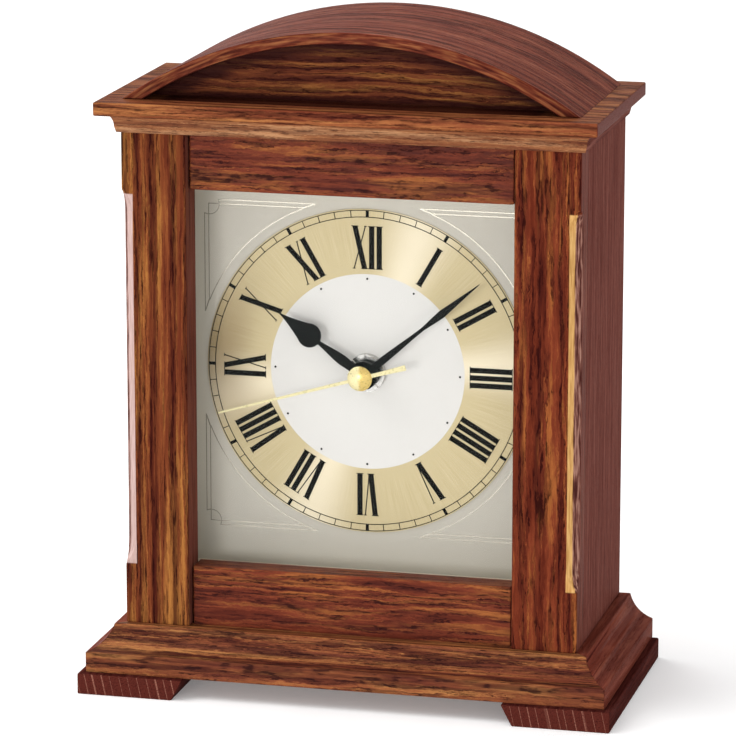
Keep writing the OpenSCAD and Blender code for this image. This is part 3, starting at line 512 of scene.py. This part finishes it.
def ease(node, width_mm, angle=25):
    """Round the long sharp edges of a node's visible shape; its own mesh stays as it is."""
    o = NODES[node]
    bm = bmesh.new()
    bm.from_mesh(o.data)
    bmesh.ops.remove_doubles(bm, verts=bm.verts, dist=WELD)

    def key(a, b):
        """The same edge in both meshes, whichever way round it runs."""
        return frozenset((tuple(round(c, 6) for c in a), tuple(round(c, 6) for c in b)))

    chosen = {key(e.verts[0].co, e.verts[1].co) for e in bm.edges
              if len(e.link_faces) == 2 and e.calc_face_angle(0) > math.radians(angle)
              and e.calc_length() > SHORTEST_EASED}
    bm.free()
    weights = o.data.attributes.new("bevel_weight_edge", "FLOAT", "EDGE")
    for e in o.data.edges:
        a, b = (o.data.vertices[i].co for i in e.vertices)
        weights.data[e.index].value = 1.0 if key(a, b) in chosen else 0.0
    o.data.shade_smooth()
    weld = o.modifiers.new("weld", "WELD")
    weld.merge_threshold = WELD
    bevel = o.modifiers.new("bevel", "BEVEL")
    bevel.limit_method = "WEIGHT"
    bevel.width = width_mm * MM
    bevel.segments = 2
    normals = o.modifiers.new("normals", "WEIGHTED_NORMAL")
    normals.weight = 90
    normals.keep_sharp = False


def paint(material, *nodes):
    for node in nodes:
        materials = NODES[node].data.materials
        materials.clear()
        materials.append(material)


# ---------- the case ----------

# the left chamfer's strip is partly pale wood, partly a painted sheen of the light from the left, so it is
# lighter and pinker than the right's
PINK_SHEEN_STRIP = ("A98D86", "BDA29C")
PINK_EDGE = ("4E302B", "75544C", "9A7A72")
TAN_STRIP = ("B0824A", "D0A468")
BROWN_EDGE = ("42211E", "6E453C", "9C7466")

paint(oak("oak_pillar_left", "z", 1, pith=(-150, 60), ring=3.9, wander=0.4, length=1.8,
          tones=PALE_OAK, gloss=0.003, patch=chamfer_patch(PINK_SHEEN_STRIP, PINK_EDGE, -1.6)), "pillar_left")
paint(oak("oak_pillar_right", "z", 2, pith=(10, 50), ring=3.4, wander=0.8, broken=0.03, length=1.3,
          gloss=0.003, patch=chamfer_patch(TAN_STRIP, BROWN_EDGE, 0.6)), "pillar_right")
for seed, node in ((3, "side_panel_left"), (4, "side_panel_right")):
    paint(oak("oak_" + node, "z", seed, pith=(0, -260), ring=1.9, wander=0.25, contrast=0.55,
              tones=SIDE_OAK, dark="43201B", pore="361715", gloss=0.0005, end=True), node)
paint(oak("oak_upper_rail", "x", 5, pith=(238, 25), ring=2.6, wander=0.7, broken=0.06, end=True),
      "upper_rail")
paint(oak("oak_lower_rail", "x", 6, pith=(-20, 40), ring=2.5, wander=0.9, broken=0.06, end=True),
      "lower_rail")
paint(oak("oak_base_front", "x", 7, pith=(-18, 22), ring=2.7, wander=0.5, length=1.5, gloss=0.05,
          tones=("683323", "874C2D", "AC7442"), end=True), "base_moulding_front")
for seed, node in ((8, "base_moulding_left"), (9, "base_moulding_right")):
    paint(oak("oak_" + node, "y", seed, pith=(-40, -30), ring=3.0, wander=0.4, contrast=0.35,
              tones=("642C20", "70362A", "844838"), gloss=0.003, end=True), node)
paint(oak("oak_base_board", "x", 10, end=True), "base_board")
for seed, node in ((11, "foot_left"), (12, "foot_right")):
    paint(oak("oak_" + node, "y", seed, pith=(-20, -60), ring=2.4, wander=0.5, contrast=0.6,
              tones=("3C1714", "4A201B", "5A2B25"), gloss=0.0005, end="rays",
              ends=("55261F", "240C0C")), node)
# the bed moulding's lighter tones are partly its wood and partly a painted highlight along its cove
paint(oak("oak_bed_front", "x", 13, pith=(190, 10), ring=2.6, wander=0.5, contrast=0.7, dark="4A1D14",
          tones=("724029", "8E5A38", "B0805A"), gloss=0.06, end=True), "bed_moulding_front")
for seed, node in ((14, "bed_moulding_left"), (15, "bed_moulding_right")):
    paint(oak("oak_" + node, "y", seed, ring=3.0, wander=0.4, contrast=0.5, tones=SIDE_OAK,
              gloss=0.0005), node)
paint(oak("oak_top_board", "x", 16, end=True), "top_board")
paint(oak("oak_slab", "x", 17, pith=(120, 30), ring=2.8, wander=0.5, contrast=0.9, gloss=0.01,
          tones=("703623", "864C2E", "A2683C"), end=True, ends=("6A342A", "3C1A14"),
          patch=shelf_shade_patch), "cornice_slab")
paint(oak("oak_arch", "x", 18, pith=(90, 5), ring=3.6, wander=1.7, broken=0.02, contrast=0.95, length=1.8,
          tones=TOP_OAK, dark="42190F", gloss=0.01, bend=arch_circle(), patch=soffit_streak_and_shade_patch), "arch_roof")
paint(oak("oak_arch_front", "x", 19, pith=(205, -8), ring=3.6, wander=1.0, tones=PALE_OAK, gloss=0.02,
          end=True, patch=recess_shade_patch), "arch_front_panel")
paint(oak("oak_arch_rear", "x", 20, pith=(205, 60), ring=3.4, end=True), "arch_rear_panel")

for node in ("pillar_left", "pillar_right", "upper_rail", "lower_rail"):
    ease(node, 0.45)
for node in ("side_panel_left", "side_panel_right", "foot_left", "foot_right", "cornice_slab", "arch_roof",
             "arch_front_panel", "arch_rear_panel"):
    ease(node, 0.5)
for node in ("base_moulding_front", "base_moulding_left", "base_moulding_right", "base_board",
             "bed_moulding_front", "bed_moulding_left", "bed_moulding_right", "top_board"):
    ease(node, 0.3, angle=20)

# ---------- back, fittings and screws ----------

paint(plywood(), "back_frame", "back_door")
for node in ("back_frame", "back_door"):
    ease(node, 0.4)
BRASS = srgb("C9A25A")
STEEL = srgb("B4B6B8")
paint(brushed("hinge_brass", BRASS, "z", 0.32), "hinge_frame_leaves", "hinge_door_leaves", "hinge_pins")
paint(brushed("brass_screws", srgb("C2994F"), "x", 0.3), "hinge_frame_screws", "hinge_door_screws")
paint(brushed("screw_steel", STEEL, "x", 0.34), "base_screws", "back_frame_screws", "dial_screws")
paint(brushed("steel_sheet", srgb("BFC1C3"), "z", 0.3), "magnet_strike", "stator", "battery_contacts")
paint(plain("magnet_dark", srgb("34353A"), 0.2, 1.6, roughness=0.45, metallic=0.4), "door_magnet", "rotor")
paint(plain("spacer_card", srgb("D9D0BC"), 0.06, 1.2, roughness=0.75), "spacer_frame")

# ---------- dial, glass and hands ----------

paint(clear_glass(), "glass_pane")
paint(brushed("dial_silver", srgb("C3BEB1"), "z", 0.45, metallic=0.06, vary=0.008, coarse=5.0),
      "dial_plate")
paint(sunray_gold(), "chapter_ring")
paint(plain("dial_white", srgb("E5E3DE"), 0.012, 1.5, 0.008, roughness=0.55), "dial_centre")
paint(plain("print_black", srgb("0D0907"), 0.15, 2.0, 0.004, roughness=0.5, specular_ior_level=0.04),
      "dial_print")
paint(plain("foil_lines", srgb("CEC8B8"), 0.03, 2.0, 0, roughness=0.24, metallic=0.6), "corner_ornaments")
paint(plain("hand_black", srgb("0B0A0A"), 0.2, 1.2, 0.01, roughness=0.42, specular_ior_level=0.05),
      "hour_hand", "minute_hand")
paint(pale_gold(), "second_hand")
paint(plain("nut_silver", srgb("C6C4BF"), 0.03, 2.0, 0, roughness=0.22, metallic=1.0), "fixing_nut")

# ---------- movement ----------

paint(plain("case_plastic", srgb("1C1C1F"), 0.12, 1.4, 0.03, roughness=0.5), "movement_front_case",
      "movement_rear_cover", "set_knob")
paint(plain("gear_plastic", srgb("E2DECF"), 0.04, 1.2, 0.02, roughness=0.42, subsurface_weight=0.1),
      "movement_middle_plate", "hour_wheel", "centre_wheel", "seconds_wheel", "third_wheel",
      "intermediate_wheel", "motion_wheel")
paint(plain("rubber_black", srgb("161616"), 0.15, 2.0, 0.04, roughness=0.8), "dial_washer")
paint(winding(), "coil")
paint(plain("board_green", srgb("14532B"), 0.15, 0.9, 0.02, roughness=0.3, coat_weight=0.4),
      "circuit_board")
paint(battery_sleeve(), "battery")


# ---------- stage, light and camera ----------

FLOOR_HALF = 8.0
FACED = (0, 0, 0.12)    # the point that every light faces
# where the camera stands, how far it looks down and how far it turns to its left, in degrees
CAMERA_PLACE = (0.399, -1.6015, 0.507)
CAMERA_DOWN = 13.16
CAMERA_TURN = 14.04


def area_light(name, place, size, power):
    lamp = bpy.data.lights.new(name, "AREA")
    lamp.energy = power
    lamp.size = size
    o = bpy.data.objects.new(name, lamp)
    bpy.context.scene.collection.objects.link(o)
    o.location = place
    o.rotation_euler = (Vector(FACED) - Vector(place)).to_track_quat("-Z", "Y").to_euler()


def stage():
    """A white floor and a white surround, with a light from the front, one to fill it, one from the
    upper left and one behind."""
    mesh = bpy.data.meshes.new("floor")
    corners = [(x * FLOOR_HALF, y * FLOOR_HALF, 0) for x, y in ((-1, -1), (1, -1), (1, 1), (-1, 1))]
    mesh.from_pydata(corners, [], [(0, 1, 2, 3)])
    floor = bpy.data.objects.new("floor", mesh)
    bpy.context.scene.collection.objects.link(floor)
    mesh.materials.append(plain("floor_white", (0.93, 0.93, 0.93, 1), 0.01, 0.02, 0, roughness=0.9,
                                emission_color=WHITE, emission_strength=0.16))

    world = bpy.data.worlds.new("studio")
    world.use_nodes = True
    background = world.node_tree.nodes["Background"]
    background.inputs["Color"].default_value = WHITE
    background.inputs["Strength"].default_value = 0.8
    bpy.context.scene.world = world

    area_light("front", (-0.3, -1.8, 0.22), 0.45, 10)
    area_light("fill", (0.75, -1.7, 0.16), 1.0, 5)
    area_light("top_left", (-1.1, -0.5, 1.7), 1.3, 22)
    area_light("rim", (-1.2, 0.9, 1.1), 0.9, 8)


def camera():
    lens = bpy.data.cameras.new("camera")
    lens.sensor_width = 36
    lens.lens = 219.5
    lens.clip_start = 0.05
    o = bpy.data.objects.new("camera", lens)
    bpy.context.scene.collection.objects.link(o)
    o.location = CAMERA_PLACE
    o.rotation_euler = (math.radians(90 - CAMERA_DOWN), 0, math.radians(CAMERA_TURN))
    bpy.context.scene.camera = o


stage()
camera()
bpy.context.scene.view_settings.view_transform = "Standard"
